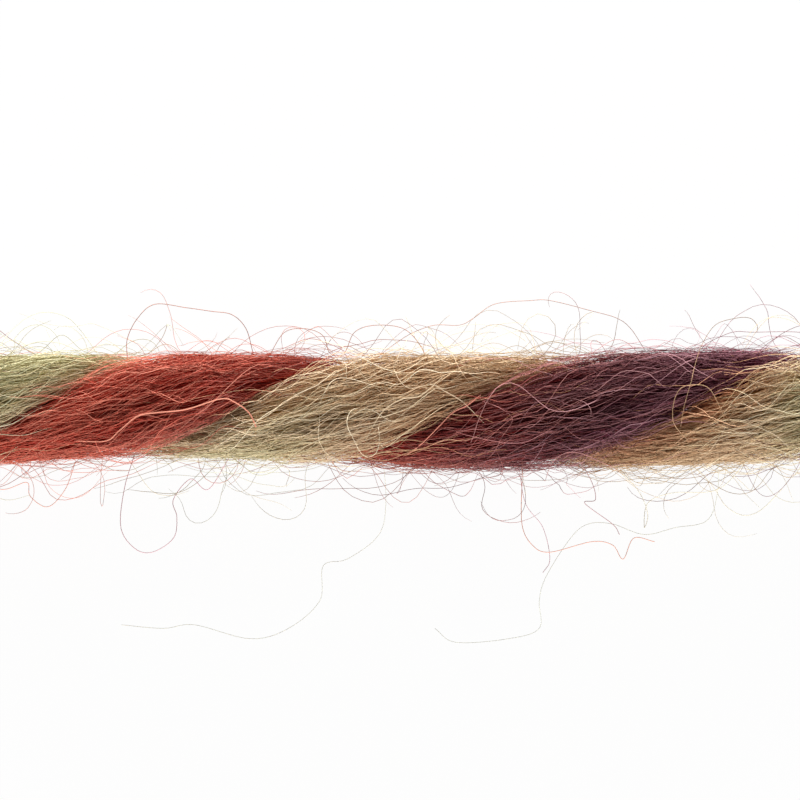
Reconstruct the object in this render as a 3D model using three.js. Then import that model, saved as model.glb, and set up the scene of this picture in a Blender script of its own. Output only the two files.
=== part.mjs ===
// A cut length of two-ply knitting yarn, lying straight along X on a surface at z = 0.
// Two soft plies of wool, one in warm colours and one in pale ones, are twisted round
// each other. They press together, so each is D-shaped: a round back, an inner side that
// bends in a shallow S against the other ply, and rounded edges that leave a groove.
// Units are millimetres, +Z is up, and the origin is under the middle of the length.

import * as THREE from 'three';

// Driving dimensions
const YARN_DIAMETER = 3.0;
const TWIST_PITCH = 12.5; // length in which the plies go once round each other
const TURNS = 2.5;
const LENGTH = TWIST_PITCH * TURNS;
const PLY_GAP = 0.36; // between the plies, straight across: about 0.3 where it slopes
const INNER_BEND = 0.26; // height of the S in a ply's inner side
const EDGE_RADIUS = 0.38; // rounding of a ply's two long edges
const PRESSED_SHARE = 0.05; // share of the radius lost where the yarn lies on the surface

// How the twist, the thickness and the line wander, as in real wool
const TWIST_AT_ORIGIN = 0.604; // turns by which the warm ply is past facing up at x = 0
const TWIST_WANDER = { turns: 0.031, length: 25, from: 5.95 };
const LINE_WANDER = { size: 0.1, length: 18.75, from: -2.2 };
const THICK_AND_THIN = { share: 0.055, length: 25, thickestAt: 5.5 };
const LUMP_LENGTH = 8;
const END_TAPER = { share: 0.06, length: 0.4 }; // the cut ends draw in a little

// Fineness of the faces
const STEPS_PER_TURN = 28;
const BACK_STEPS = 12;
const EDGE_STEPS = 3;
const INNER_STEPS = 6;

// turns places a ply round the yarn's line, and lump is how far its thickness wanders
const PLIES = [
  { name: 'ply_warm', turns: 0.0, lump: { share: 0.02, from: 0.6 }, colour: 0x8f3b41 },
  { name: 'ply_pale', turns: 0.5, lump: { share: 0.025, from: 3.1 }, colour: 0xa99a72 },
];

function wave(x, length, from) {
  return Math.sin((2 * Math.PI * (x - from)) / length);
}

// Angle of the warm ply's back at x: 0 faces up, a quarter turn later it faces +Y
function twistAngle(x) {
  const wander = TWIST_WANDER.turns * wave(x, TWIST_WANDER.length, TWIST_WANDER.from);
  return 2 * Math.PI * (TWIST_AT_ORIGIN + x / TWIST_PITCH - wander);
}

function yarnRadius(x) {
  const { share, length, thickestAt } = THICK_AND_THIN;
  return (YARN_DIAMETER / 2) * (1 + share * wave(x, length, thickestAt - length / 4));
}

// The line that the plies turn about: it wanders a little, and the yarn lies on z = 0
function lineY(x) {
  return -LINE_WANDER.size * wave(x, LINE_WANDER.length, LINE_WANDER.from);
}

function lineZ(x) {
  return yarnRadius(x) * (1 - PRESSED_SHARE);
}

function endTaper(x) {
  const toEnd = LENGTH / 2 - Math.abs(x);
  return 1 - END_TAPER.share * Math.max(0, 1 - toEnd / END_TAPER.length);
}

function arcPoints(centre, radius, startAngle, endAngle, steps) {
  const points = [];
  for (let i = 0; i <= steps; i += 1) {
    const angle = startAngle + ((endAngle - startAngle) * i) / steps;
    points.push(new THREE.Vector2(
      centre.x + radius * Math.cos(angle),
      centre.y + radius * Math.sin(angle),
    ));
  }
  return points;
}

// The inner side of a ply, from its left edge to its right one, ends left out
function innerPoints(fromX, toX) {
  const points = [];
  for (let i = 1; i < INNER_STEPS; i += 1) {
    const part = i / INNER_STEPS;
    const bend = -INNER_BEND * Math.sin(2 * Math.PI * part);
    points.push(new THREE.Vector2(fromX + (toX - fromX) * part, PLY_GAP / 2 + bend));
  }
  return points;
}

// One ply's section: its round back is towards +Y of the section, and the yarn's line
// passes through (0, 0), half a gap below the inner side
function plySection() {
  const radius = YARN_DIAMETER / 2;
  const edgeY = PLY_GAP / 2 + EDGE_RADIUS;
  const edgeX = Math.sqrt((radius - EDGE_RADIUS) ** 2 - edgeY ** 2);
  const edgeAngle = Math.atan2(edgeY, edgeX);
  const rightEdge = new THREE.Vector2(edgeX, edgeY);
  const leftEdge = new THREE.Vector2(-edgeX, edgeY);
  const line = new THREE.Vector2(0, 0);

  const right = arcPoints(rightEdge, EDGE_RADIUS, -Math.PI / 2, edgeAngle, EDGE_STEPS);
  const back = arcPoints(line, radius, edgeAngle, Math.PI - edgeAngle, BACK_STEPS);
  const left = arcPoints(leftEdge, EDGE_RADIUS, Math.PI - edgeAngle, 1.5 * Math.PI, EDGE_STEPS);
  const inner = innerPoints(-edgeX, edgeX);
  return new THREE.Shape([...right, ...back.slice(1), ...left.slice(1), ...inner]);
}

// A straight bar of the section, then twisted, swelled and laid on the surface
function plyGeometry(ply) {
  const geometry = new THREE.ExtrudeGeometry(plySection(), {
    depth: LENGTH,
    steps: STEPS_PER_TURN * TURNS,
    bevelEnabled: false,
  });
  const position = geometry.getAttribute('position');
  for (let i = 0; i < position.count; i += 1) {
    const x = position.getZ(i) - LENGTH / 2;
    const across = position.getX(i);
    const outwards = position.getY(i);
    const angle = twistAngle(x) + 2 * Math.PI * ply.turns;
    const lump = 1 + ply.lump.share * wave(x, LUMP_LENGTH, ply.lump.from);
    const swell = (yarnRadius(x) / (YARN_DIAMETER / 2)) * endTaper(x);
    const back = PLY_GAP / 2 + (outwards - PLY_GAP / 2) * lump;
    const y = lineY(x) + swell * (across * Math.cos(angle) + back * Math.sin(angle));
    const z = lineZ(x) + swell * (back * Math.cos(angle) - across * Math.sin(angle));
    position.setXYZ(i, x, y, Math.max(z, 0));
  }
  geometry.computeVertexNormals();
  return geometry;
}

function buildPly(ply) {
  const material = new THREE.MeshStandardMaterial({
    color: ply.colour,
    roughness: 0.95,
    metalness: 0,
  });
  const mesh = new THREE.Mesh(plyGeometry(ply), material);
  mesh.name = ply.name;
  return mesh;
}

const yarn = new THREE.Group();
for (const ply of PLIES) {
  yarn.add(buildPly(ply));
}

export default yarn;
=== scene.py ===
# A cut length of two-ply knitting yarn on a light ground, seen from straight above.
# Every wool fibre that shows is a fine closed tube: fibres that wrap each ply, short ones
# that fill its cut ends, fuzz that stands off it in small arcs and curls, and longer strays.
# Sizes whose names end in _MM, and all points, are in millimetres. MM turns one into metres.
import math

import bpy
import numpy as np
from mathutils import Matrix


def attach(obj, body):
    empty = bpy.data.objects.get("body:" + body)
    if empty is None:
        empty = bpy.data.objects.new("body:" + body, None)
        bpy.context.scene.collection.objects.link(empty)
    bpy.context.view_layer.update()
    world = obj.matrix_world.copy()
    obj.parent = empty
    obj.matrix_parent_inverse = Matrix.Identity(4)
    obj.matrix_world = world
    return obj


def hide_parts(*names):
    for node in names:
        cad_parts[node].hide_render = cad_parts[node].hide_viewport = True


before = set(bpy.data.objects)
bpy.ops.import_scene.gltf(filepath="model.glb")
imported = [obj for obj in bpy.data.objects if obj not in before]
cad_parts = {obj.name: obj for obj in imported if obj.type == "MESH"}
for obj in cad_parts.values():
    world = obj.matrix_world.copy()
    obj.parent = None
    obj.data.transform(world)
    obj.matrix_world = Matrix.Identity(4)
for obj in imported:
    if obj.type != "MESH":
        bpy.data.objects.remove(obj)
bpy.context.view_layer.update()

MM = 0.001

# The yarn's own sizes, as in the part's solids
DIAMETER_MM = 3.0
RADIUS_MM = DIAMETER_MM / 2
PITCH_MM = 12.5
LENGTH_MM = 2.5 * PITCH_MM
HALF_LENGTH_MM = LENGTH_MM / 2
PRESSED_SHARE = 0.05
TWIST_AT_ORIGIN = 0.604
TWIST_WANDER = {"turns": 0.031, "length_mm": 25.0, "from_mm": 5.95}
LINE_WANDER = {"size_mm": 0.1, "length_mm": 18.75, "from_mm": -2.2}
THICK_AND_THIN = {"share": 0.055, "length_mm": 25.0, "thickest_mm": 5.5}

# The photograph's frame on the yarn
VIEW_WIDTH_MM = 22.9
VIEW_CENTRE_Y_MM = 0.26
CAMERA_HEIGHT_MM = 400.0
SENSOR_MM = 36.0

LOWEST_MM = 0.0144  # height of a fibre's middle where it lies on the surface


def wave(x, length, start):
    """A sine along the yarn that rises through 0 at start."""
    return np.sin(2 * np.pi * (x - start) / length)


def smooth(low, high, x):
    """An easy step from 0 at low to 1 at high. Low may be above high."""
    t = np.clip((x - low) / (high - low), 0, 1)
    return t * t * (3 - 2 * t)


def twist_angle(x):
    """Angle of the warm ply's back, in radians: 0 faces up, a quarter turn later +Y."""
    at = wave(x, TWIST_WANDER["length_mm"], TWIST_WANDER["from_mm"])
    wander = TWIST_WANDER["turns"] * at
    return 2 * np.pi * (TWIST_AT_ORIGIN + x / PITCH_MM - wander)


def yarn_radius(x):
    length = THICK_AND_THIN["length_mm"]
    swell = wave(x, length, THICK_AND_THIN["thickest_mm"] - length / 4)
    return RADIUS_MM * (1 + THICK_AND_THIN["share"] * swell)


def line_y(x):
    """Where the line that the plies turn about lies: it wanders a little across."""
    at = wave(x, LINE_WANDER["length_mm"], LINE_WANDER["from_mm"])
    return -LINE_WANDER["size_mm"] * at


def line_z(x):
    return yarn_radius(x) * (1 - PRESSED_SHARE)


class Ply:
    """One ply: its solid's node, its material slot, and turns round the yarn's line."""

    def __init__(self, name, node, slot, turns):
        self.name = name
        self.node = node
        self.slot = slot
        self.turns = turns

    def angle(self, x):
        return twist_angle(x) + 2 * np.pi * self.turns


WARM = Ply("warm", "ply_warm", "warm_wool", 0.0)
PALE = Ply("pale", "ply_pale", "pale_wool", 0.5)

# A ply's section for a yarn of radius 1: a round back, two rounded edges and a flat side.
# It is read by the way round it, from the middle of the back
EDGE = 0.42  # radius of the rounded edges
HALF_GAP = 0.01  # from the yarn's line to the flat side
SECTION_CENTRE = 0.42  # how far its middle is from the yarn's line
BRIDGE_SHARE = 0.95  # radius kept by the fibres that bridge the groove between the plies
ARC_POINTS = 40
FLAT_POINTS = 12


def section_table():
    """Half of the section: points, the directions they face and the way to each."""
    edge_y = HALF_GAP + EDGE
    edge_x = math.sqrt((1 - EDGE) ** 2 - edge_y**2)
    edge_angle = math.atan2(edge_y, edge_x)
    back = np.linspace(np.pi / 2, edge_angle, ARC_POINTS)
    turn = np.linspace(edge_angle, -np.pi / 2, ARC_POINTS)[1:]
    flat = np.linspace(edge_x, 0, FLAT_POINTS)[1:]
    across = np.concatenate([np.cos(back), edge_x + EDGE * np.cos(turn), flat])
    flat_outwards = np.full_like(flat, HALF_GAP)
    outwards = np.concatenate([np.sin(back), edge_y + EDGE * np.sin(turn), flat_outwards])
    facing = np.concatenate([back, turn, np.full_like(flat, -np.pi / 2)])
    steps = np.hypot(np.diff(across), np.diff(outwards))
    way = np.concatenate([[0], np.cumsum(steps)])
    edge_end = way[len(back) + len(turn) - 1]
    return {
        "way": way,
        "across": across,
        "outwards": outwards,
        "facing_across": np.cos(facing),
        "facing_outwards": np.sin(facing),
        "edge_end": edge_end,
    }


SECTION = section_table()
EDGE_END = SECTION["edge_end"]


def on_section(way):
    """Point of the section and its outward direction, at a way from the back's middle."""
    side = np.where(way < 0, -1.0, 1.0)
    distance = np.minimum(np.abs(way), SECTION["way"][-1])

    def read(key):
        return np.interp(distance, SECTION["way"], SECTION[key])

    return (
        side * read("across"),
        read("outwards"),
        side * read("facing_across"),
        read("facing_outwards"),
    )


def ply_points(ply, x, way, lift=0.0, sink=0.0, bridge=0.0):
    """Points in or near a ply.

    way goes round its section in shares of the yarn's radius. sink draws a point in from
    the surface, 0, to the section's middle, 1. lift is a height off the surface in mm.
    bridge, from 0 to 1, takes a point out of the groove between the plies onto the round
    yarn that the two make.
    """
    across, outwards, facing_across, facing_outwards = on_section(way)
    from_line = np.hypot(across, outwards)
    round_across = across / from_line
    round_outwards = outwards / from_line
    fill = 1 + bridge * (np.maximum(BRIDGE_SHARE / from_line, 1) - 1)
    facing_across = facing_across + bridge * (round_across - facing_across)
    facing_outwards = facing_outwards + bridge * (round_outwards - facing_outwards)
    keep = 1 - sink
    across = across * fill * keep
    outwards = SECTION_CENTRE + (outwards * fill - SECTION_CENTRE) * keep
    radius = yarn_radius(x)
    across = across * radius + facing_across * lift
    outwards = outwards * radius + facing_outwards * lift
    theta = ply.angle(x)
    y = line_y(x) + across * np.cos(theta) + outwards * np.sin(theta)
    z = line_z(x) + outwards * np.cos(theta) - across * np.sin(theta)
    x, y, z = np.broadcast_arrays(x, y, z)
    return np.stack([x, y, np.maximum(z, LOWEST_MM)], axis=-1)


# Tubes


TUBE_SIDES = 3
STEEP = 0.9  # upward share of a direction above which a tube takes its lead from Y
SIDE_MAP_WIDTHS = np.array([0.0, 0.004, 0.008])  # gives a tube's sides some width in the map


def tube_vertices(points, thickness):
    """Rings of vertices, in metres, round lines of points in millimetres."""
    along = np.gradient(points, axis=1)
    along /= np.linalg.norm(along, axis=2, keepdims=True) + 1e-9
    lead = np.zeros_like(along)
    lead[..., 2] = 1.0
    steep = np.abs(along[..., 2]) > STEEP
    lead[steep] = (0.0, 1.0, 0.0)
    side = np.cross(along, lead)
    side /= np.linalg.norm(side, axis=2, keepdims=True) + 1e-9
    up = np.cross(side, along)
    rings = []
    for k in range(TUBE_SIDES):
        turn = 2 * np.pi * k / TUBE_SIDES
        offset = np.cos(turn) * side + np.sin(turn) * up
        rings.append(points + offset * (thickness[..., None] / 2))
    return np.stack(rings, axis=2).reshape(-1, 3) * MM


def tube_faces(count, steps):
    """Vertex numbers of the tubes' sides, and of a triangle that closes each end."""
    start = (np.arange(count) * steps * TUBE_SIDES)[:, None, None]
    ring = (np.arange(steps - 1) * TUBE_SIDES)[None, :, None]
    k = np.arange(TUBE_SIDES)[None, None, :]
    k_next = (k + 1) % TUBE_SIDES
    near = start + ring
    far = near + TUBE_SIDES
    quads = np.stack([near + k, near + k_next, far + k_next, far + k], axis=-1).reshape(-1, 4)
    first = start[:, 0, :] + np.array([[2, 1, 0]])
    last = start[:, 0, :] + (steps - 1) * TUBE_SIDES + np.array([[0, 1, 2]])
    caps = np.concatenate([first, last]).reshape(-1, 3)
    return quads, caps


def tube_mesh(name, points, thickness, uv):
    """One mesh of many closed three-sided tubes.

    points is (fibres, steps, 3) in millimetres, thickness (fibres, steps) and
    uv (fibres, steps, 2): the tone, which carries painted light and shade, and the dye along each
    fibre.
    """
    count, steps, _ = points.shape
    vertices = tube_vertices(points, thickness)
    quads, caps = tube_faces(count, steps)
    loops = np.concatenate([quads.ravel(), caps.ravel()])
    quad_starts = np.arange(len(quads)) * 4
    cap_starts = quads.size + np.arange(len(caps)) * 3
    starts = np.concatenate([quad_starts, cap_starts])
    mesh = bpy.data.meshes.new(name)
    mesh.vertices.add(len(vertices))
    mesh.vertices.foreach_set("co", vertices.ravel())
    mesh.loops.add(len(loops))
    mesh.loops.foreach_set("vertex_index", loops.astype(np.int32))
    mesh.polygons.add(len(starts))
    mesh.polygons.foreach_set("loop_start", starts.astype(np.int32))
    mesh.polygons.foreach_set("use_smooth", np.ones(len(starts), dtype=bool))
    mesh.update(calc_edges=True)

    vertex_uv = np.repeat(uv[:, :, None, :], TUBE_SIDES, axis=2).astype(float)
    vertex_uv[..., 0] += SIDE_MAP_WIDTHS
    vertex_uv = vertex_uv.reshape(-1, 2)
    layer = mesh.uv_layers.new(name="OFBake")
    layer.data.foreach_set("uv", vertex_uv[loops].ravel())
    mesh.validate()
    return mesh


# Materials


def ramp_node(nodes, stops):
    """A colour ramp from (position, colour) rows."""
    node = nodes.new("ShaderNodeValToRGB")
    ramp = node.color_ramp
    ramp.interpolation = "LINEAR"
    while len(ramp.elements) > 1:
        ramp.elements.remove(ramp.elements[-1])
    ramp.elements[0].position = stops[0][0]
    ramp.elements[0].color = (*stops[0][1], 1)
    for position, colour in stops[1:]:
        ramp.elements.new(position).color = (*colour, 1)
    return node


def linear(hex_colour):
    """A colour written as 0xRRGGBB, in linear light."""
    parts = [(hex_colour >> shift & 255) / 255 for shift in (16, 8, 0)]
    return tuple(c / 12.92 if c < 0.04045 else ((c + 0.055) / 1.055) ** 2.4 for c in parts)


# The dyes run into each other in this order along the yarn. Each is a shaded and a lit copy,
# painted shade and light: inner deep in the ply, lit_colour a single fibre in the light
WARM_DYES = [
    {"at": 0.00, "inner": 0xC43A26, "lit_colour": 0xFFCEB0},  # salmon
    {"at": 0.25, "inner": 0xA41A10, "lit_colour": 0xFFC4A6},  # brick
    {"at": 0.50, "inner": 0x700A10, "lit_colour": 0xECB0A2},  # maroon
    {"at": 0.75, "inner": 0x400616, "lit_colour": 0xE6AEB0},  # plum
    {"at": 1.00, "inner": 0x601A38, "lit_colour": 0xE8BAC2},  # mauve
]
PALE_DYES = [
    {"at": 0.00, "inner": 0xA08E4A, "lit_colour": 0xEEF6DA},  # sage
    {"at": 0.25, "inner": 0xA27A38, "lit_colour": 0xF4F4D6},  # olive
    {"at": 0.50, "inner": 0xAE6E2E, "lit_colour": 0xFAF8DE},  # cream
    {"at": 0.75, "inner": 0x90481A, "lit_colour": 0xEADDB2},  # tan
    {"at": 1.00, "inner": 0xA0401A, "lit_colour": 0xEECBA4},  # orange
]


def fibre_material(name, dyes):
    """Wool: the map's height picks the dye, and its width mixes its shaded and lit copies,
    painting light and shade.
    """
    material = bpy.data.materials.new(name)
    material.use_nodes = True
    nodes = material.node_tree.nodes
    links = material.node_tree.links
    shader = nodes["Principled BSDF"]
    shader.inputs["Roughness"].default_value = 0.8
    shader.inputs["Specular IOR Level"].default_value = 0.08
    uv = nodes.new("ShaderNodeUVMap")
    uv.uv_map = "OFBake"
    split = nodes.new("ShaderNodeSeparateXYZ")
    links.new(uv.outputs["UV"], split.inputs[0])
    inner = ramp_node(nodes, [(d["at"], linear(d["inner"])) for d in dyes])
    lit_colour = ramp_node(nodes, [(d["at"], linear(d["lit_colour"])) for d in dyes])
    mix = nodes.new("ShaderNodeMix")
    mix.data_type = "RGBA"
    links.new(split.outputs["X"], mix.inputs["Factor"])
    for ramp, socket in ((inner, "A"), (lit_colour, "B")):
        links.new(split.outputs["Y"], ramp.inputs["Fac"])
        links.new(ramp.outputs["Color"], mix.inputs[socket])
    links.new(mix.outputs["Result"], shader.inputs["Base Color"])
    return material


# Where the dyes lie: a place along the yarn in mm, and the dye there on a ply's back
WARM_PLACES = [
    {"x": -19.0, "dye": 0.05},
    {"x": -11.4, "dye": 0.16},
    {"x": -7.0, "dye": 0.24},
    {"x": -3.0, "dye": 0.28},
    {"x": 0.0, "dye": 0.45},
    {"x": 2.0, "dye": 0.58},
    {"x": 5.0, "dye": 0.72},
    {"x": 8.0, "dye": 0.80},
    {"x": 10.5, "dye": 0.92},
    {"x": 19.0, "dye": 0.98},
]
PALE_PLACES = [
    {"x": -19.0, "dye": 0.02},
    {"x": -11.4, "dye": 0.04},
    {"x": -7.0, "dye": 0.06},
    {"x": -4.0, "dye": 0.20},
    {"x": -1.5, "dye": 0.46},
    {"x": 0.5, "dye": 0.58},
    {"x": 3.5, "dye": 0.40},
    {"x": 5.0, "dye": 0.48},
    {"x": 7.0, "dye": 0.60},
    {"x": 9.0, "dye": 0.62},
    {"x": 11.0, "dye": 0.28},
    {"x": 12.0, "dye": 0.12},
    {"x": 19.0, "dye": 0.05},
]


def dye_along(places, x):
    xs = [row["x"] for row in places]
    dyes = [row["dye"] for row in places]
    return np.interp(x, xs, dyes)


def warm_dye(x, way, draw):
    """Dye at a place in the warm ply. draw, a random number, sets the fibre's own shade."""
    return np.clip(dye_along(WARM_PLACES, x) - 0.04 * way + 0.07 * draw, 0.01, 0.99)


def pale_dye_and_seam_shade(x, way, draw):
    """The same for the pale ply, plus painted shade: it turns browner towards its two seams."""
    # painted shade: the dye moves browner towards the seams
    across = 0.04 * way + 0.14 * way**2
    return np.clip(dye_along(PALE_PLACES, x) + across + 0.08 * draw, 0.01, 0.99)


DYES = {"warm": warm_dye, "pale": pale_dye_and_seam_shade}

# How light fibres are between the shaded colour, 0, and the lit one, 1: mean and spread
TONES = {"warm": (0.145, 0.03), "pale": (0.36, 0.03)}
# The fuzz is given lighter tones: painted light, as if lit through from behind
FUZZ_TONES = {"warm": (0.23, 0.06), "pale": (0.38, 0.06)}
LIGHTEST = 0.98

# Painted shade and light: fibres get darker as they sink into the ply, and lighter as they stand
# off it
PAINTED_SHADE_BY_DEPTH = 0.6
PAINTED_LIGHT_OFF_PLY = 1.1

# Fibres that wrap a ply

FIBRE_DRIFT = -0.50  # way round its ply that a fibre takes for each mm along it, in mm
WAVE_SHARES = (0.3, 1.0)  # a wave's height, as a share of the size asked for
THICKNESS_SHARES = (0.8, 1.2)

# Ridges and furrows: how close they are in radians for each radius of way round the ply,
# how high, and how they wander along the yarn in radians for each mm
BROAD_RIDGES = 6.0
BROAD_HEIGHT = 0.28
FINE_RIDGES = 13.0
FINE_HEIGHT = 0.22
RIDGE_WANDER = 0.21
PALE_RIDGE_START = 1.7


def waves(rng, count, x, lengths, sizes):
    """Crimp of each fibre: one wave of each kind, with its own length and height."""
    total = np.zeros_like(x)
    for (low, high), size in zip(lengths, sizes):
        length = rng.uniform(low, high, (count, 1))
        start = rng.uniform(0, 1, (count, 1)) * length
        height = size * rng.uniform(*WAVE_SHARES, (count, 1))
        total += height * np.sin(2 * np.pi * (x - start) / length)
    return total


def furrow(ply, x, way):
    """Fibres bunch into low ridges, 0, with furrows between, 1, along their line."""
    trace = way - FIBRE_DRIFT * x / RADIUS_MM
    start = 0.0 if ply is WARM else PALE_RIDGE_START
    slow = np.sin(RIDGE_WANDER * x + start)
    broad = BROAD_HEIGHT * np.sin(BROAD_RIDGES * trace + start + slow)
    fine = FINE_HEIGHT * np.sin(FINE_RIDGES * trace - slow)
    return 0.5 + broad + fine


# The two layers. reach is the fibres' length in mm, and sink their depth: the least, the
# most, and a power that crowds them to one or the other. Below 0 they stand off the ply.
# crimp and rise are waves across and off the ply in mm, drift_spread how much directions
# differ, size the thickness in mm, and bridge how far they span the groove of the twist
UNDER = {
    "count": 1850,
    "steps": 10,
    "reach": (3.0, 7.0),
    "sink": (0.12, 0.26, 1.0),
    "crimp": 0.06,
    "rise": 0.03,
    "drift_spread": 0.09,
    "size": 0.036,
    "bridge": (0.30, 0.45),
}
OVER = {
    "count": 2300,
    "steps": 15,
    "reach": (2.8, 5.6),
    "sink": (-0.22, 0.12, 0.5),
    "crimp": 0.13,
    "rise": 0.045,
    "drift_spread": 0.13,
    "size": 0.019,
    "bridge": (0.35, 0.8),
}
CRIMP_LENGTHS_MM = [(2.0, 4.4), (0.9, 1.7)]
RISE_LENGTHS_MM = [(1.5, 3.4), (0.8, 1.5)]
SHORT_WAVE_SHARE = 0.4  # height of a fibre's short waves for each mm of its long ones
RAGGED_ENDS_MM = (-0.5, 0.45)  # at the cut ends, from the yarn's own end
FURROW_DEPTH = 0.06
TIP_DEPTH = 0.12  # a fibre's two ends go deeper, so they don't show
TIP_DEEPENS_FROM = 0.34  # place on a fibre, whose middle is 0 and whose ends are 0.5
TIP_THINS_FROM = 0.46
TIP_THINNING = 0.6
LOOSE_DEPTH = -0.1  # where fibres that stand off the ply are finest
LOOSE_THINNING = 0.35
PAST_EDGE = 0.3  # way past the section's edge at which no fibre spans the groove


def wrap_fibres(ply, name, seed, layer):
    """A layer of fibres that wind round a ply's back with the twist."""
    rng = np.random.default_rng(seed)
    count = layer["count"]
    steps = layer["steps"]
    centre = rng.uniform(-HALF_LENGTH_MM, HALF_LENGTH_MM, (count, 1))
    length = rng.uniform(*layer["reach"], (count, 1))
    way_centre = rng.uniform(-EDGE_END, EDGE_END, (count, 1))
    drift = FIBRE_DRIFT + rng.normal(0, layer["drift_spread"], (count, 1))
    t = np.linspace(-0.5, 0.5, steps)[None, :]
    ragged = HALF_LENGTH_MM + rng.uniform(*RAGGED_ENDS_MM, (count, 1))
    x = np.clip(centre + t * length, -ragged, ragged)
    crimp = [layer["crimp"], layer["crimp"] * SHORT_WAVE_SHARE]
    rise = [layer["rise"], layer["rise"] * SHORT_WAVE_SHARE]
    sideways = waves(rng, count, x, CRIMP_LENGTHS_MM, crimp)
    outwards = waves(rng, count, x, RISE_LENGTHS_MM, rise)
    way = way_centre + (drift * (x - centre) + sideways) / RADIUS_MM

    low, high, power = layer["sink"]
    sunk = low + (high - low) * rng.uniform(0, 1, (count, 1)) ** power
    to_tip = smooth(TIP_DEEPENS_FROM, 0.5, np.abs(t))
    sunk = sunk + FURROW_DEPTH * furrow(ply, x, way) + TIP_DEPTH * to_tip
    low, high = layer["bridge"]
    bridging = low + (high - low) * rng.uniform(0, 1, (count, 1)) ** 2
    bridging = bridging * smooth(EDGE_END + PAST_EDGE, EDGE_END, np.abs(way))
    points = ply_points(ply, x, way, lift=outwards, sink=sunk, bridge=bridging)

    thickness = layer["size"] * rng.uniform(*THICKNESS_SHARES, (count, 1)) * np.ones_like(x)
    thickness *= 1 - TIP_THINNING * smooth(TIP_THINS_FROM, 0.5, np.abs(t))
    thickness *= 1 - LOOSE_THINNING * smooth(0.0, LOOSE_DEPTH, sunk)
    uv = np.empty((count, steps, 2))
    # A random tone, with painted shade as fibres sink and painted light as they stand off
    lightness = rng.normal(*TONES[ply.name], (count, 1)) - PAINTED_SHADE_BY_DEPTH * np.maximum(sunk, 0)
    lightness += PAINTED_LIGHT_OFF_PLY * np.maximum(-sunk, 0)
    uv[..., 0] = np.clip(lightness, 0.0, LIGHTEST)
    uv[..., 1] = DYES[ply.name](x, way, rng.normal(0, 1, (count, 1)))
    return add_piece(name, tube_mesh(name, points, thickness, uv))


# Fibres at the cut ends

END_FIBRES = 260  # at each end of each ply
END_STEPS = 4
END_FIBRE_MM = 0.045
END_REACH_MM = 1.0
END_RAGGED_MM = (-0.4, 0.25)  # how much shorter or longer than that each is
END_WAY_SPREAD = 0.08
END_FILL = 0.9  # how far out from the section's middle they lie
END_SPLAY = 0.06  # how far out their cut tips spread
END_TONE_SPREAD = 0.08
CORE_BRIDGE = 0.3  # how far they and the inner body fill the groove between the plies


def end_fibres(ply, name, seed):
    """Short fibres that fill the cut ends, each cut off at its own length."""
    rng = np.random.default_rng(seed)
    count = 2 * END_FIBRES
    end = np.repeat([-1.0, 1.0], END_FIBRES)[:, None]
    t = np.linspace(0, 1, END_STEPS)[None, :]
    reach = END_REACH_MM + rng.uniform(*END_RAGGED_MM, (count, 1))
    x = end * (HALF_LENGTH_MM - END_REACH_MM + reach * t)
    way = rng.uniform(-EDGE_END, EDGE_END, (count, 1))
    way = way + rng.normal(0, END_WAY_SPREAD, (count, 1)) * t
    sunk = 1 - END_FILL * rng.uniform(0, 1, (count, 1)) ** 0.5 - END_SPLAY * t**2
    points = ply_points(ply, x, way, sink=sunk, bridge=CORE_BRIDGE)
    thickness = END_FIBRE_MM * rng.uniform(*THICKNESS_SHARES, (count, 1)) * np.ones_like(x)
    uv = np.empty((count, END_STEPS, 2))
    lightness = rng.normal(TONES[ply.name][0], END_TONE_SPREAD, (count, 1))
    uv[..., 0] = np.clip(lightness, 0.0, LIGHTEST)
    uv[..., 1] = DYES[ply.name](x, way, rng.normal(0, 1, (count, 1)))
    return add_piece(name, tube_mesh(name, points, thickness, uv))


# Fuzz that stands off the yarn

FUZZ_STEPS = 22
FUZZ_MM = 0.017
FUZZ_CLEAR_MM = 0.3  # how near the cut ends it may start, and how far past them arcs reach
FUZZ_PAINTED_LIGHT = 0.3  # painted light: how much lighter the darker dyes get where it stands off the yarn
FUZZ_WIDEST = 1.45  # radians from the middle of a ply's back to its widest roots

# Share of the tried roots that is kept: at the sides, less by these towards +Y and on top
ROOT_SHARE = 0.60
ROOT_LOSS_TO_Y = 0.05
ROOT_LOSS_ON_TOP = 0.42

ARC_DRIFT_SPREAD = 0.25
ARC_HEIGHT_SPREAD = 0.6
ARC_TURN_WAVES = {"lengths": [(1.8, 3.8), (0.9, 1.6)], "sizes": [0.14, 0.05]}  # radians
ARC_LIFT_WAVES = {"lengths": [(1.6, 3.4), (0.8, 1.5)], "sizes": [0.6, 0.22]}  # of its height
ARC_ROOT_MM = 0.06  # how deep an arc's two ends are, but for its waves
CROSSING_SHARE = 0.3  # share of the arcs that pass over onto the other ply
SEAM_TURNS = (1.35, 1.75)  # the others dip where their ply ends, between these radians
SEAM_DIP_MM = 0.5


def round_points(ply, x, turn, lift):
    """Points round the whole yarn, turn radians from the middle of a ply's back."""
    theta = ply.angle(x) + turn
    out = yarn_radius(x) + lift
    y = line_y(x) + out * np.sin(theta)
    z = line_z(x) + out * np.cos(theta)
    x, y, z = np.broadcast_arrays(x, y, z)
    return np.stack([x, y, np.maximum(z, LOWEST_MM)], axis=-1)


def fuzz_roots(ply, rng, count):
    """Starts of fuzz fibres: a few more on the -Y side, and far fewer on top."""
    end = HALF_LENGTH_MM - FUZZ_CLEAR_MM
    tries = 6 * count
    x = rng.uniform(-end, end, (tries, 1))
    turn = rng.uniform(-FUZZ_WIDEST, FUZZ_WIDEST, (tries, 1))
    theta = ply.angle(x) + turn
    upward = np.maximum(np.cos(theta), 0)
    share = ROOT_SHARE - ROOT_LOSS_TO_Y * np.sin(theta) - ROOT_LOSS_ON_TOP * upward
    kept = (rng.uniform(0, 1, x.shape) < share)[:, 0]
    return x[kept][:count], turn[kept][:count]


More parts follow.
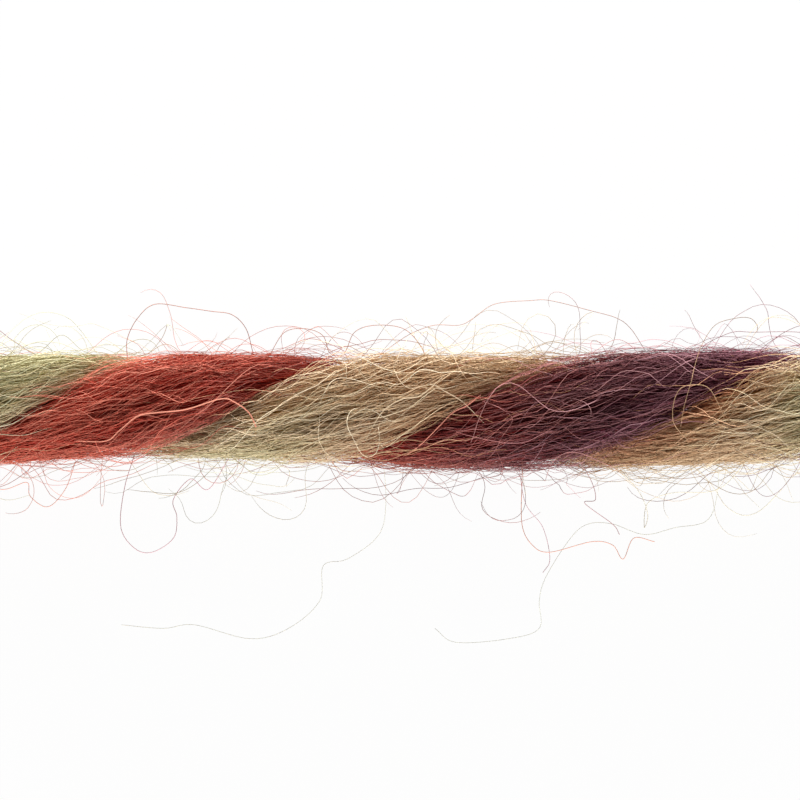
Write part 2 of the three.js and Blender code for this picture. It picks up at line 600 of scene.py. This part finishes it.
def fuzz_arcs(ply, rng, count, height, reach):
    """Fibres that leave the yarn and come back in a low, uneven arc."""
    t = np.linspace(0, 1, FUZZ_STEPS)[None, :]
    start, turn_start = fuzz_roots(ply, rng, count)
    span = rng.uniform(*reach, (count, 1)) * rng.choice([-1, 1], (count, 1))
    end = HALF_LENGTH_MM + FUZZ_CLEAR_MM
    x = np.clip(start + span * t, -end, end)
    drift = FIBRE_DRIFT + rng.normal(0, ARC_DRIFT_SPREAD, (count, 1))
    top = height * rng.lognormal(0, ARC_HEIGHT_SPREAD, (count, 1))
    turn = turn_start + drift * (x - start) / RADIUS_MM
    turn += waves(rng, count, x, **ARC_TURN_WAVES)
    wander = waves(rng, count, x, **ARC_LIFT_WAVES)
    lift = top * (np.sin(np.pi * t) + wander) - ARC_ROOT_MM
    crosses = rng.uniform(0, 1, (count, 1)) < CROSSING_SHARE
    dip = SEAM_DIP_MM * smooth(*SEAM_TURNS, np.abs(turn))
    lift = np.where(crosses, lift, lift - dip)
    return round_points(ply, x, turn, lift), x, turn


def unit(vectors):
    return vectors / np.linalg.norm(vectors, axis=1, keepdims=True)


PAST_SEAM = 1.6  # radians from the middle of a ply's back
FACING_UP = 0.3  # upward share of a direction

CURL_ROOT_MM = 0.12  # how deep a curl's root is
CURL_OUT_MM = 0.5  # a height off the yarn that gives its way out
CURL_SPREAD = 0.3
CURL_NUDGE = 1.2  # how much its bend changes at random, as a share of the bend
CURL_CALM = 0.9  # how fast a bend dies away
CURL_ALONG = 0.5  # how strongly it is led along the yarn
CURL_FREE_MM = 0.15  # height off the yarn that it isn't drawn back from
GROUND_LIFT = 0.3  # upward share that it keeps where it meets the ground


def crosses_front(ply, points):
    """Which fibres pass over the other ply where it faces up."""
    x, y, z = points[..., 0], points[..., 1], points[..., 2]
    theta = np.arctan2(y - line_y(x), z - line_z(x))
    turn = (theta - ply.angle(x) + np.pi) % (2 * np.pi) - np.pi
    return np.any((np.abs(turn) > PAST_SEAM) & (np.cos(theta) > FACING_UP), axis=1)


def curls(ply, rng, wanted, length, bend, pull, out_share):
    """Fibres that bend slowly one way and then another, drawn back if they go far.

    length is in mm, bend how sharply they curl, pull how strongly they are drawn back, and
    out_share how steeply they leave the yarn. Those that cross its front are left out.
    """
    count = 2 * wanted
    x, turn = fuzz_roots(ply, rng, count)
    root = round_points(ply, x, turn, -CURL_ROOT_MM)[:, 0]
    outside = round_points(ply, x, turn, CURL_OUT_MM)[:, 0]
    along = np.zeros((count, 3))
    along[:, 0] = rng.choice([-1, 1], count)
    astray = rng.normal(0, CURL_SPREAD, (count, 3))
    heading = unit(along + astray + out_share * unit(outside - root))
    turning = rng.normal(0, bend, (count, 3))
    step = rng.uniform(*length, (count, 1)) / (FUZZ_STEPS - 1)
    points = np.empty((count, FUZZ_STEPS, 3))
    points[:, 0] = root
    for i in range(1, FUZZ_STEPS):
        here = points[:, i - 1]
        nudge = rng.normal(0, CURL_NUDGE * bend, (count, 3)) * np.sqrt(step)
        turning += nudge - CURL_CALM * turning * step
        heading = heading + np.cross(turning, heading) * step + CURL_ALONG * along * step
        line = np.stack([here[:, 0], line_y(here[:, 0]), line_z(here[:, 0])], axis=1)
        off_line = here - line
        far = np.linalg.norm(off_line, axis=1, keepdims=True) - RADIUS_MM - CURL_FREE_MM
        heading -= pull * step * np.maximum(far, 0) * unit(off_line)
        heading = unit(heading)
        points[:, i] = here + heading * step
        low = points[:, i, 2] < FUZZ_MM
        points[low, i, 2] = FUZZ_MM
        heading[low, 2] = np.abs(heading[low, 2]) * GROUND_LIFT
    kept = ~crosses_front(ply, points)
    points = points[kept][:wanted]
    x_all = points[..., 0]
    return points, x_all, np.broadcast_to(turn[kept][:wanted], x_all.shape)


HIGH_ARCS = {"height": 0.16, "reach": (2.0, 5.5)}
LOW_ARCS = {"height": 0.06, "reach": (2.0, 5.0)}
LONG_CURLS = {"length": (3.0, 7.0), "bend": 0.6, "pull": 1.2, "out_share": 0.4}
SHORT_CURLS = {"length": (1.5, 5.0), "bend": 0.8, "pull": 0.5, "out_share": 0.7}
FUZZ = {
    "warm": [
        (fuzz_arcs, 400, HIGH_ARCS),
        (fuzz_arcs, 640, LOW_ARCS),
        (curls, 190, LONG_CURLS),
        (curls, 100, SHORT_CURLS),
    ],
    "pale": [
        (fuzz_arcs, 540, HIGH_ARCS),
        (fuzz_arcs, 460, LOW_ARCS),
        (curls, 180, LONG_CURLS),
        (curls, 100, SHORT_CURLS),
    ],
}

FUZZ_THICKNESS_SHARES = (0.7, 1.15)
FUZZ_TIP_FROM = 0.8  # share of its length
FUZZ_TIP_THINNING = 0.4
FUZZ_TIP_TONE = 0.05  # how much lighter its far end is
FUZZ_DYE_SPREAD = 1.3
PAINTED_LIGHT_HEIGHTS_MM = (0.03, 0.3)  # off the yarn, where the painted light starts and ends


def fuzz(ply, name, seed):
    """All of one ply's fuzz as one piece."""
    rng = np.random.default_rng(seed)
    made = [make(ply, rng, count, **facts) for make, count, facts in FUZZ[ply.name]]
    points = np.concatenate([m[0] for m in made])
    x = np.concatenate([m[1] for m in made])
    turn = np.concatenate([m[2] for m in made])
    count = len(points)
    t = np.linspace(0, 1, FUZZ_STEPS)[None, :]
    thickness = FUZZ_MM * rng.uniform(*FUZZ_THICKNESS_SHARES, (count, 1)) * np.ones_like(x)
    thickness *= 1 - FUZZ_TIP_THINNING * smooth(FUZZ_TIP_FROM, 1.0, t)
    tone = rng.normal(*FUZZ_TONES[ply.name], (count, 1))
    uv = np.empty((count, FUZZ_STEPS, 2))
    dye = DYES[ply.name](x, turn, rng.normal(0, FUZZ_DYE_SPREAD, (count, 1)))
    off = np.hypot(points[..., 1] - line_y(x), points[..., 2] - line_z(x)) - yarn_radius(x)
    # Painted light: fuzz grows lighter as it stands further off the yarn
    rise = FUZZ_PAINTED_LIGHT * dye * smooth(*PAINTED_LIGHT_HEIGHTS_MM, off)
    uv[..., 0] = np.clip(tone + FUZZ_TIP_TONE * t + rise, 0.0, LIGHTEST)
    uv[..., 1] = dye
    return add_piece(name, tube_mesh(name, points, thickness, uv))


# Long strays, each placed where the photograph shows one. Points are (x, y, z) in
# millimetres, and dye and tone pick its colour

STRAY_STEPS = 90
# A stray's tone mixes the shaded and lit copies of its dye: painted light and shade
STRAYS = [
    {  # a high arc over the red stretch
        "ply": "warm", "dye": 0.08, "tone": 0.6, "thick": 0.024,
        "points": [(-7.8, 1.4, 1.6), (-7.8, 2.0, 2.0), (-7.5, 2.6, 2.2), (-7.0, 3.0, 2.2),
                   (-6.1, 2.9, 2.1), (-5.4, 2.8, 2.1), (-4.8, 2.7, 2.2), (-4.4, 2.3, 2.0),
                   (-4.2, 1.6, 1.7)],
    },
    {
        "ply": "warm", "dye": 0.10, "tone": 0.55, "thick": 0.022,
        "points": [(-3.9, 1.3, 1.7), (-3.7, 1.6, 2.0), (-3.3, 2.2, 2.1), (-2.7, 2.3, 2.1),
                   (-2.2, 2.1, 2.0), (-2.0, 1.6, 1.8), (-1.6, 1.6, 1.9), (-1.3, 2.2, 2.1),
                   (-0.7, 2.4, 2.2), (0.1, 2.3, 2.1), (0.6, 1.8, 1.8), (0.8, 1.3, 1.6)],
    },
    {  # the long hair over the middle
        "ply": "warm", "dye": 0.15, "tone": 0.7, "thick": 0.020,
        "points": [(-0.9, 1.3, 1.7), (-0.1, 1.9, 2.1), (0.4, 2.2, 2.4), (1.0, 2.4, 2.6),
                   (1.7, 2.4, 2.6), (2.1, 2.6, 2.6), (2.7, 3.0, 2.6), (3.7, 3.1, 2.6),
                   (4.3, 3.1, 2.5), (5.5, 2.8, 2.4), (6.2, 2.6, 2.2), (6.6, 2.3, 2.0),
                   (7.0, 1.7, 1.7)],
    },
    {  # the pale loop in front of the purple stretch
        "ply": "pale", "dye": 0.66, "tone": 0.30, "thick": 0.024,
        "points": [(8.2, -0.9, 2.9), (7.8, -0.4, 3.2), (7.8, 0.2, 3.4), (8.0, 0.6, 3.5),
                   (8.4, 0.7, 3.5), (8.8, 0.6, 3.4), (9.1, 0.1, 3.2), (9.3, -0.4, 2.9)],
    },
    {
        "ply": "pale", "dye": 0.66, "tone": 0.30, "thick": 0.020,
        "points": [(8.0, -0.5, 3.0), (8.1, 0.1, 3.3), (8.3, 0.8, 3.2), (8.4, 1.2, 2.9),
                   (8.6, 1.8, 2.6), (9.0, 2.4, 2.4), (9.6, 2.6, 2.3), (10.0, 2.6, 2.3),
                   (10.2, 2.4, 2.3), (10.2, 2.2, 2.3)],
    },
    {
        "ply": "warm", "dye": 0.95, "tone": 0.7, "thick": 0.022,
        "points": [(8.6, 1.7, 2.2), (8.8, 1.9, 2.3), (9.5, 2.2, 2.4), (10.1, 2.2, 2.4),
                   (11.4, 2.2, 2.3), (12.6, 2.0, 2.0), (13.3, 1.3, 1.6)],
    },
    {  # across the front of the red stretch
        "ply": "warm", "dye": 0.04, "tone": 0.42, "thick": 0.046,
        "points": [(-9.3, -0.9, 2.3), (-8.4, -0.9, 2.7), (-8.0, -0.6, 2.9), (-7.5, -0.2, 3.1),
                   (-7.0, -0.1, 3.2), (-6.1, 0.0, 3.3), (-5.1, 0.3, 3.3), (-4.7, 0.2, 3.2),
                   (-4.3, -0.1, 3.1), (-4.1, -0.5, 2.9)],
    },
    {  # lying across the front of the middle
        "ply": "pale", "dye": 0.45, "tone": 0.45, "thick": 0.034,
        "points": [(-1.0, -0.9, 2.5), (-0.6, -0.2, 3.0), (-0.3, 0.1, 3.1), (0.1, 0.3, 3.1),
                   (0.6, 0.4, 3.1), (1.2, 0.9, 2.7)],
    },
    {
        "ply": "pale", "dye": 0.50, "tone": 0.45, "thick": 0.028,
        "points": [(-0.2, 1.2, 2.4), (0.0, 0.8, 2.8), (0.3, 0.6, 3.0), (0.9, 0.7, 3.0),
                   (1.3, 0.5, 3.1), (1.8, 0.2, 3.1), (2.4, -0.4, 2.8)],
    },
    {
        "ply": "warm", "dye": 0.30, "tone": 0.42, "thick": 0.034,
        "points": [(0.2, -1.3, 2.2), (0.6, -1.0, 2.7), (1.1, -0.5, 3.0), (1.5, -0.1, 3.1),
                   (1.9, 0.1, 3.1), (2.3, 0.4, 2.9)],
    },
    {
        "ply": "warm", "dye": 0.60, "tone": 0.28, "thick": 0.032,
        "points": [(2.4, -1.5, 2.0), (2.7, -1.2, 2.6), (2.9, -0.8, 2.9), (3.2, -0.3, 3.1),
                   (2.9, 0.0, 3.1), (2.4, 0.2, 2.9)],
    },
    {
        "ply": "warm", "dye": 0.75, "tone": 0.26, "thick": 0.032,
        "points": [(3.3, -0.6, 2.8), (3.6, -0.1, 3.1), (3.9, 0.2, 3.1), (4.4, 0.3, 3.1),
                   (4.9, 0.1, 3.1), (5.5, 0.2, 3.1), (6.0, 0.7, 2.8)],
    },
    {  # below the red stretch
        "ply": "warm", "dye": 0.08, "tone": 0.5, "thick": 0.024,
        "points": [(-13.0, -1.2, 1.2), (-12.2, -2.0, 1.0), (-11.4, -2.3, 0.9), (-10.7, -2.1, 0.9),
                   (-10.6, -2.5, 0.8), (-10.1, -2.8, 0.8), (-9.6, -2.3, 0.9), (-9.3, -1.5, 1.1)],
    },
    {
        "ply": "warm", "dye": 0.90, "tone": 0.75, "thick": 0.026,
        "points": [(-7.6, -1.3, 1.3), (-7.9, -2.3, 1.0), (-8.0, -3.4, 0.8), (-7.6, -4.0, 0.7),
                   (-7.1, -4.1, 0.7), (-6.5, -3.7, 0.8), (-6.4, -3.1, 0.9), (-6.5, -2.6, 1.0),
                   (-6.0, -2.0, 1.1), (-5.5, -2.3, 1.0), (-4.9, -1.4, 1.3)],
    },
    {  # the longest ones hang far below
        "ply": "pale", "dye": 0.50, "tone": 0.95, "thick": 0.016,
        "points": [(-0.5, -1.3, 1.2), (-0.4, -2.6, 0.9), (-0.6, -3.6, 0.7), (-1.5, -4.3, 0.5),
                   (-2.2, -4.5, 0.4), (-2.3, -5.5, 0.3), (-3.2, -6.3, 0.2), (-4.3, -6.6, 0.2),
                   (-5.9, -6.2, 0.2), (-6.8, -6.3, 0.2), (-8.0, -6.2, 0.2)],
    },
    {
        "ply": "pale", "dye": 0.20, "tone": 0.95, "thick": 0.015,
        "points": [(9.1, -1.4, 1.4), (9.1, -2.4, 1.1), (8.8, -3.2, 0.9), (7.9, -3.4, 0.8),
                   (7.0, -3.6, 0.7), (6.1, -3.3, 0.7), (5.4, -3.3, 0.6), (4.9, -3.7, 0.5),
                   (4.2, -4.8, 0.4), (4.0, -5.5, 0.3), (4.0, -6.3, 0.2), (3.1, -6.6, 0.2),
                   (1.6, -6.7, 0.2), (1.0, -6.3, 0.2)],
    },
    {
        "ply": "warm", "dye": 0.22, "tone": 0.6, "thick": 0.026,
        "points": [(3.5, -1.3, 1.4), (3.5, -2.0, 1.2), (3.5, -3.3, 0.9), (3.8, -3.9, 0.8),
                   (4.3, -4.1, 0.8), (5.5, -3.8, 0.8), (6.1, -3.9, 0.8), (6.4, -4.3, 0.7),
                   (6.7, -3.7, 0.8), (7.3, -3.8, 0.8)],
    },
    {
        "ply": "warm", "dye": 0.95, "tone": 0.8, "thick": 0.022,
        "points": [(3.4, -1.6, 1.3), (3.6, -2.7, 1.1), (4.1, -3.4, 0.9), (4.3, -4.3, 0.7),
                   (4.1, -4.7, 0.6)],
    },
    {
        "ply": "warm", "dye": 0.75, "tone": 0.6, "thick": 0.024,
        "points": [(5.1, -1.4, 1.4), (5.5, -2.1, 1.2), (5.6, -2.6, 1.1), (5.3, -2.7, 1.0),
                   (6.1, -3.3, 0.8), (6.3, -3.6, 0.7)],
    },
    {
        "ply": "pale", "dye": 0.55, "tone": 0.8, "thick": 0.022,
        "points": [(6.0, -1.5, 1.4), (6.8, -2.3, 1.2), (7.1, -3.0, 1.0), (7.0, -3.4, 0.9),
                   (7.1, -2.7, 1.0), (7.8, -2.4, 1.2), (9.1, -2.3, 1.2), (10.0, -1.4, 1.4)],
    },
]


def spline(points, steps):
    """A smooth line through the points: each coordinate eases from one to the next."""
    points = np.array(points, dtype=float)
    before = np.vstack([2 * points[0] - points[1], points[:-1]])
    after = np.vstack([points[1:], 2 * points[-1] - points[-2]])
    slope = (after - before) / 2
    at = np.linspace(0, len(points) - 1 - 1e-6, steps)
    k = at.astype(int)
    t = (at - k)[:, None]
    start = (2 * t**3 - 3 * t**2 + 1) * points[k] + (t**3 - 2 * t**2 + t) * slope[k]
    return start + (3 * t**2 - 2 * t**3) * points[k + 1] + (t**3 - t**2) * slope[k + 1]


def stray_piece(ply, name):
    """All of one ply's long strays. Each is drawn with the same number of steps."""
    rows = [row for row in STRAYS if row["ply"] == ply.name]
    points = np.stack([spline(row["points"], STRAY_STEPS) for row in rows])
    count = len(rows)
    thickness = np.array([row["thick"] for row in rows])[:, None] * np.ones((count, STRAY_STEPS))
    uv = np.empty((count, STRAY_STEPS, 2))
    uv[..., 0] = np.array([row["tone"] for row in rows])[:, None]
    uv[..., 1] = np.array([row["dye"] for row in rows])[:, None]
    return add_piece(name, tube_mesh(name, points, thickness, uv))


def add_piece(name, mesh):
    piece = bpy.data.objects.new(name, mesh)
    bpy.context.scene.collection.objects.link(piece)
    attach(piece, "root")
    return piece


# The inner body of a ply, under its fibres

CORE_SHARE = 0.74
CORE_ENDS_MM = 0.5  # it stops short of the cut ends, which are all fibre
CORE_STEPS = 140
CORE_BACK_POINTS = 24
CORE_FLAT_POINTS = 4

# Its place in the map: its sides take most of it, and its two ends a strip each
SIDE_MAP_SHARE = 0.96
SIDE_MAP_START = 0.02
END_MAP_PLACES = (0.975, 0.99)
END_MAP_WIDTH = 0.005
END_MAP_MIDDLE = 0.5
END_MAP_HEIGHT = 0.4


def core_ways():
    """Ways round the section for the core's sides: closed, so its last point isn't repeated."""
    far = SECTION["way"][-1]
    left = np.linspace(-far, -EDGE_END, CORE_FLAT_POINTS)[1:]
    back = np.linspace(-EDGE_END, EDGE_END, CORE_BACK_POINTS)[1:-1]
    right = np.linspace(EDGE_END, far, CORE_FLAT_POINTS)
    return np.concatenate([left, back, right])


def core_side_faces(sides):
    """The core's side faces and their places in the map."""
    faces = []
    uvs = []
    for i in range(CORE_STEPS - 1):
        near = SIDE_MAP_SHARE * i / (CORE_STEPS - 1)
        far = SIDE_MAP_SHARE * (i + 1) / (CORE_STEPS - 1)
        row = i * sides
        for k in range(sides):
            k_next = (k + 1) % sides
            low = SIDE_MAP_START + SIDE_MAP_SHARE * k / sides
            high = SIDE_MAP_START + SIDE_MAP_SHARE * (k + 1) / sides
            faces.append((row + k, row + sides + k, row + sides + k_next, row + k_next))
            uvs += [(near, low), (far, low), (far, high), (near, high)]
    return faces, uvs


def core_end_faces(ways):
    """The core's two end faces and their places in the map."""
    sides = len(ways)
    across, outwards, _, _ = on_section(ways)
    first = list(range(sides))
    last = [sides * CORE_STEPS - 1 - k for k in range(sides)]
    faces = []
    uvs = []
    for ring, at in zip((first, last), END_MAP_PLACES):
        faces.append(tuple(ring))
        for v in ring:
            k = v % sides
            high = END_MAP_MIDDLE + END_MAP_HEIGHT * outwards[k]
            uvs.append((at + END_MAP_WIDTH * across[k], high))
    return faces, uvs


def core_mesh(ply, name):
    """A closed body inside a ply's fibres."""
    ways = core_ways()
    end = HALF_LENGTH_MM - CORE_ENDS_MM
    x = np.linspace(-end, end, CORE_STEPS)[:, None]
    points = ply_points(ply, x, ways[None, :], sink=1 - CORE_SHARE, bridge=CORE_BRIDGE)
    side_faces, side_uvs = core_side_faces(len(ways))
    end_faces, end_uvs = core_end_faces(ways)
    faces = side_faces + end_faces
    mesh = bpy.data.meshes.new(name)
    mesh.from_pydata((points.reshape(-1, 3) * MM).tolist(), [], faces)
    mesh.polygons.foreach_set("use_smooth", np.ones(len(faces), dtype=bool))
    layer = mesh.uv_layers.new(name="OFBake")
    layer.data.foreach_set("uv", np.array(side_uvs + end_uvs).ravel())
    mesh.update()
    return mesh


def core_stops(dyes, places):
    """The shaded colour, painted shade, at each place, as rows for a ramp along the yarn."""
    at = [d["at"] for d in dyes]
    channels = [[linear(d["inner"])[c] for d in dyes] for c in range(3)]
    start = places[0]["x"]
    span = places[-1]["x"] - start
    stops = []
    for row in places:
        colour = [float(np.interp(row["dye"], at, channel)) for channel in channels]
        stops.append(((row["x"] - start) / span, colour))
    return stops


STREAKS = (300, 9000, 9000)  # of the noise for each metre: long along the yarn, fine across
STREAK_TONES = [(0.3, (0.55, 0.55, 0.55)), (0.7, (1.0, 1.0, 1.0))]


def core_material(name, dyes, places):
    """The shaded dyes along the yarn, painted shade deep in the ply, broken up by fine streaks.
    """
    material = bpy.data.materials.new(name)
    material.use_nodes = True
    nodes = material.node_tree.nodes
    links = material.node_tree.links
    shader = nodes["Principled BSDF"]
    shader.inputs["Roughness"].default_value = 0.9
    shader.inputs["Specular IOR Level"].default_value = 0.1
    coordinates = nodes.new("ShaderNodeTexCoord")
    split = nodes.new("ShaderNodeSeparateXYZ")
    links.new(coordinates.outputs["Object"], split.inputs[0])
    along = nodes.new("ShaderNodeMapRange")
    along.inputs["From Min"].default_value = places[0]["x"] * MM
    along.inputs["From Max"].default_value = places[-1]["x"] * MM
    links.new(split.outputs["X"], along.inputs["Value"])
    ramp = ramp_node(nodes, core_stops(dyes, places))
    links.new(along.outputs["Result"], ramp.inputs["Fac"])
    stretch = nodes.new("ShaderNodeMapping")
    stretch.inputs["Scale"].default_value = STREAKS
    links.new(coordinates.outputs["Object"], stretch.inputs["Vector"])
    noise = nodes.new("ShaderNodeTexNoise")
    noise.inputs["Scale"].default_value = 1.0
    noise.inputs["Detail"].default_value = 2.0
    links.new(stretch.outputs["Vector"], noise.inputs["Vector"])
    tone = ramp_node(nodes, STREAK_TONES)
    links.new(noise.outputs["Fac"], tone.inputs["Fac"])
    mix = nodes.new("ShaderNodeMix")
    mix.data_type = "RGBA"
    mix.blend_type = "MULTIPLY"
    mix.inputs["Factor"].default_value = 1.0
    links.new(ramp.outputs["Color"], mix.inputs["A"])
    links.new(tone.outputs["Color"], mix.inputs["B"])
    links.new(mix.outputs["Result"], shader.inputs["Base Color"])
    return material


# Stage, lights and camera


FLOOR_MM = 1200.0
FLOOR_GLOW = 0.94  # the light ground gives light of its own
WORLD_LIGHT = 0.24


def make_stage():
    mesh = bpy.data.meshes.new("floor")
    half = FLOOR_MM / 2 * MM
    corners = [(-half, -half, 0), (half, -half, 0), (half, half, 0), (-half, half, 0)]
    mesh.from_pydata(corners, [], [(0, 1, 2, 3)])
    floor = bpy.data.objects.new("floor", mesh)
    bpy.context.scene.collection.objects.link(floor)
    material = bpy.data.materials.new("light_ground")
    material.use_nodes = True
    shader = material.node_tree.nodes["Principled BSDF"]
    shader.inputs["Base Color"].default_value = (0.1, 0.1, 0.1, 1)
    shader.inputs["Roughness"].default_value = 1.0
    shader.inputs["Specular IOR Level"].default_value = 0.0
    shader.inputs["Emission Color"].default_value = (1, 1, 1, 1)
    shader.inputs["Emission Strength"].default_value = FLOOR_GLOW
    floor.data.materials.append(material)


def make_world():
    world = bpy.data.worlds.new("studio")
    bpy.context.scene.world = world
    world.use_nodes = True
    background = world.node_tree.nodes["Background"]
    background.inputs["Color"].default_value = (1, 1, 1, 1)
    background.inputs["Strength"].default_value = WORLD_LIGHT


# Soft boxes low on either side of the yarn: places and sizes in mm, powers in watts
SIDE_LIGHTS = {
    "far_side": {"y": 250.0, "power": 2.6},
    "near_side": {"y": -250.0, "power": 1.4},
}
SIDE_LIGHT_HEIGHT_MM = 30.0
SIDE_LIGHT_SIZE_MM = (400.0, 58.0)


def make_side_light(name, y, power):
    data = bpy.data.lights.new(name, "AREA")
    data.shape = "RECTANGLE"
    data.size = SIDE_LIGHT_SIZE_MM[0] * MM
    data.size_y = SIDE_LIGHT_SIZE_MM[1] * MM
    data.energy = power
    light = bpy.data.objects.new(name, data)
    light.location = (0, y * MM, SIDE_LIGHT_HEIGHT_MM * MM)
    turn = math.copysign(math.pi / 2, y)
    light.rotation_euler = (-turn, 0, 0)
    bpy.context.scene.collection.objects.link(light)


def make_camera():
    data = bpy.data.cameras.new("camera")
    data.type = "PERSP"
    data.sensor_width = SENSOR_MM
    distance = CAMERA_HEIGHT_MM - RADIUS_MM
    data.lens = SENSOR_MM * distance / VIEW_WIDTH_MM
    data.clip_start = 0.01
    data.clip_end = 10
    camera = bpy.data.objects.new("camera", data)
    camera.location = (0, VIEW_CENTRE_Y_MM * MM, CAMERA_HEIGHT_MM * MM)
    bpy.context.scene.collection.objects.link(camera)
    bpy.context.scene.camera = camera


bpy.context.scene.view_settings.view_transform = "Standard"
make_stage()
make_world()
make_camera()
for name, row in SIDE_LIGHTS.items():
    make_side_light(name, **row)

MATERIALS = {
    "warm": fibre_material("warm_fibre", WARM_DYES),
    "pale": fibre_material("pale_fibre", PALE_DYES),
    "warm_core": core_material("warm_core", WARM_DYES, WARM_PLACES),
    "pale_core": core_material("pale_core", PALE_DYES, PALE_PLACES),
}


def dress_ply(ply, seed):
    """The pieces of one ply: its inner body, and a list of its fibres' pieces."""
    core = add_piece(f"{ply.name}_core", core_mesh(ply, f"{ply.name}_core"))
    core.data.materials.append(MATERIALS[f"{ply.name}_core"])
    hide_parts(ply.node)
    under = wrap_fibres(ply, f"{ply.name}_under_fibres", seed, UNDER)
    over = wrap_fibres(ply, f"{ply.name}_over_fibres", seed + 1, OVER)
    halo = fuzz(ply, f"{ply.name}_fuzz", seed + 2)
    strays = stray_piece(ply, f"{ply.name}_strays")
    ends = end_fibres(ply, f"{ply.name}_end_fibres", seed + 3)
    fibres = [under, over, ends, halo, strays]
    for piece in fibres:
        piece.data.materials.append(MATERIALS[ply.name])
    return core, fibres


warm_core, warm_fibres = dress_ply(WARM, seed=11)
pale_core, pale_fibres = dress_ply(PALE, seed=23)
